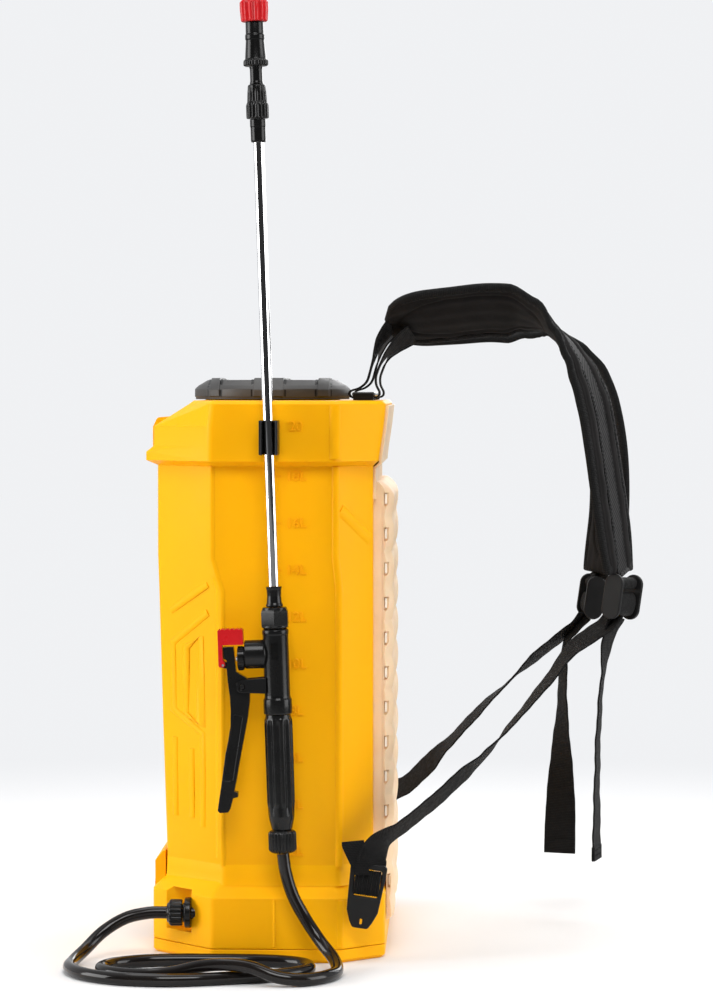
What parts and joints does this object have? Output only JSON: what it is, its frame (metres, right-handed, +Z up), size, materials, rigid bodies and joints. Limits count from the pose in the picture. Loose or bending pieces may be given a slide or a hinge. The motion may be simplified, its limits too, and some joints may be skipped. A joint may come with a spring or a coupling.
{
  "type": "backpack sprayer",
  "caption": "Knapsack sprayer: hollow tank on a pump base, screw lid, padded straps, ribbed back rest, hose and clipped spray lance with squeeze lever.",
  "frame": {"origin": "centre of the base's flat underside, on the floor", "axes": "+Z up, -X towards the outlet and control panel, +X towards the wearer, -Y towards the lance"},
  "size_m": [0.5076, 0.4755, 0.8393],
  "materials": {
    "tank_yellow": "satin moulded polyethylene",
    "black_plastic": "glossy moulded plastic",
    "lid_charcoal": "fine matt texture",
    "signal_red": "satin",
    "chromed_steel": "polished",
    "machine_steel": "plain",
    "webbing_black": "woven polypropylene",
    "pad_fabric": "woven polyester over foam",
    "seal_rubber": "matt",
    "rest_cream": "ribbed foam",
    "battery_blue": "shrink wrap",
    "hose_black": "smooth, glossy",
    "filter_mesh": "mesh"
  },
  "bodies": {
    "tank": {"tank_shell": "tank_yellow", "base_housing": "tank_yellow", "base_tray": "tank_yellow", "tray_screw_1": "machine_steel", "tray_screw_2": "machine_steel", "tray_screw_3": "machine_steel", "tray_screw_4": "machine_steel", "back_rest": "rest_cream", "strap_anchor": "black_plastic", "lance_clip": "black_plastic", "outlet_fitting": "black_plastic", "outlet_nut": "black_plastic", "battery_pack": "battery_blue", "pump_head": "black_plastic", "pump_motor": "machine_steel", "suction_tube": "seal_rubber", "delivery_tube": "seal_rubber", "control_panel": "black_plastic", "charge_socket": "black_plastic", "hose": "hose_black", "top_webbing_near": "webbing_black", "shoulder_pad_near": "pad_fabric", "adjuster_near": "black_plastic", "lower_webbing_near": "webbing_black", "strap_tail_near": "webbing_black", "hook_buckle_near": "black_plastic", "hook_tail_near": "webbing_black", "top_webbing_far": "webbing_black", "shoulder_pad_far": "pad_fabric", "adjuster_far": "black_plastic", "lower_webbing_far": "webbing_black", "strap_tail_far": "webbing_black", "hook_buckle_far": "black_plastic", "hook_tail_far": "webbing_black"},
    "strainer": {"strainer": "black_plastic"},
    "gasket": {"lid_gasket": "seal_rubber"},
    "lid": {"lid": "lid_charcoal"},
    "switch": {"power_switch": "signal_red"},
    "knob": {"pressure_knob": "black_plastic"},
    "socket_cap": {"charge_cap": "seal_rubber"},
    "gun": {"lance_collar": "black_plastic", "lance_tube": "chromed_steel", "nozzle_neck": "black_plastic", "nozzle_body": "black_plastic", "gun_ferrule": "black_plastic", "gun_hex_nut": "black_plastic", "gun_body": "black_plastic", "gun_handle": "black_plastic", "gun_filter": "filter_mesh", "gun_hose_nut": "black_plastic", "trigger_pin": "machine_steel"},
    "nozzle_cap": {"nozzle_cap": "signal_red"},
    "nozzle_nut": {"nozzle_nut": "black_plastic"},
    "trigger": {"trigger_lever": "black_plastic", "lock_pin": "machine_steel"},
    "lock": {"lever_lock": "signal_red"},
    "stem": {"valve_stem": "machine_steel"}
  },
  "joints": [
    {"name": "strainer_lift", "type": "slide", "parent": "tank", "child": "strainer", "axis": [0, 0, 1], "range_m": [0, 0.11]},
    {"name": "lid_rise", "type": "slide", "parent": "strainer", "child": "gasket", "axis": [0, 0, 1], "range_m": [0, 0.01]},
    {"name": "lid_turn", "type": "hinge", "parent": "gasket", "child": "lid", "pos_m": [-0.008, 0, 0.503], "axis": [0, 0, 1], "range_deg": [0, 540]},
    {"name": "switch_rock", "type": "hinge", "parent": "tank", "child": "switch", "pos_m": [-0.1105, -0.028, 0.0425], "axis": [0, 1, 0], "range_deg": [-7, 7]},
    {"name": "knob_turn", "type": "hinge", "parent": "tank", "child": "knob", "pos_m": [-0.1117, 0.002, 0.0425], "axis": [-1, 0, 0], "range_deg": [0, 270]},
    {"name": "socket_cap_swing", "type": "hinge", "parent": "tank", "child": "socket_cap", "pos_m": [-0.1133, 0.033, 0.0525], "axis": [0, 1, 0], "range_deg": [0, 110]},
    {"name": "gun_unclip", "type": "slide", "parent": "tank", "child": "gun", "axis": [0, -1, 0], "range_m": [0, 0.06]},
    {"name": "nozzle_cap_turn", "type": "hinge", "parent": "gun", "child": "nozzle_cap", "pos_m": [-0.01294, -0.187, 0.8194], "axis": [-0.0334, 0, 0.9994], "range_deg": [0, 360]},
    {"name": "nozzle_nut_turn", "type": "hinge", "parent": "gun", "child": "nozzle_nut", "pos_m": [-0.01015, -0.187, 0.73615], "axis": [-0.0334, 0, 0.9994], "range_deg": [0, 720]},
    {"name": "trigger_squeeze", "type": "hinge", "parent": "gun", "child": "trigger", "pos_m": [-0.02376, -0.187, 0.24472], "axis": [0, -1, 0], "range_deg": [0, 13], "stiffness_Nm_per_rad": 1.2, "springref_deg": -6.88},
    {"name": "lock_swing", "type": "hinge", "parent": "trigger", "child": "lock", "pos_m": [-0.04058, -0.187, 0.26317], "axis": [0, -1, 0], "range_deg": [0, 45]},
    {"name": "stem_slide", "type": "slide", "parent": "gun", "child": "stem", "axis": [-0.9994, 0, -0.0334], "range_m": [0, 0.0051]}
  ],
  "couplings": [
    {"joint": "lid_rise", "follows": "lid_turn", "m_per_rad": 0.000955},
    {"joint": "stem_slide", "follows": "trigger_squeeze", "m_per_rad": 0.0215}
  ]
}
